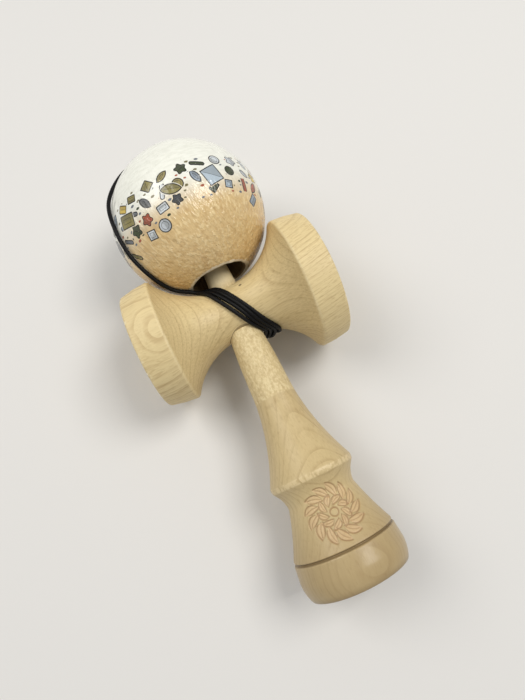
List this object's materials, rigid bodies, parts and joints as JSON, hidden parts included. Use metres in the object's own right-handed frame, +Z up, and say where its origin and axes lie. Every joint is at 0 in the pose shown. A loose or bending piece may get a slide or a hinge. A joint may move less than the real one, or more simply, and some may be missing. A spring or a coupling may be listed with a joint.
{
  "type": "kendama",
  "caption": "Wooden cup-and-ball toy: turned handle with spike and base cup, cross piece with big and small cups, and a holed ball on a black string wound round the crossing.",
  "frame": {"origin": "on the table, under the middle of the part's bounding box, cord left out", "axes": "+X along the cross piece towards the big cup, +Y along the handle towards the spike and ball, +Z up from the table the toy lies on"},
  "size_m": [0.0748, 0.1764, 0.06],
  "materials": {
    "handle_wood": "satin worn maple",
    "cross_wood": "satin maple",
    "ball_wood": "glossy clear coat and cream paint",
    "bead_wood": "satin",
    "string": "braided"
  },
  "bodies": {
    "handle": {"ken": "handle_wood", "sarado": "cross_wood", "string_run": "string", "string_winding": "string", "string_anchor": "string", "end_knot": "string"},
    "string_end": {"bead": "bead_wood", "bead_knot": "string", "string_lead": "string"},
    "ball": {"tama": "ball_wood"}
  },
  "joints": [
    {"name": "ball_lift", "type": "slide", "parent": "handle", "child": "string_end", "axis": [0, 0.9982, 0.0603], "range_m": [0, 0.05], "deforming": ["string_run"]},
    {"name": "ball_spin", "type": "hinge", "parent": "string_end", "child": "ball", "pos_m": [-0.00084, 0.05765, 0.03], "axis": [-0.0369, 0.9931, 0.111], "continuous": true}
  ]
}
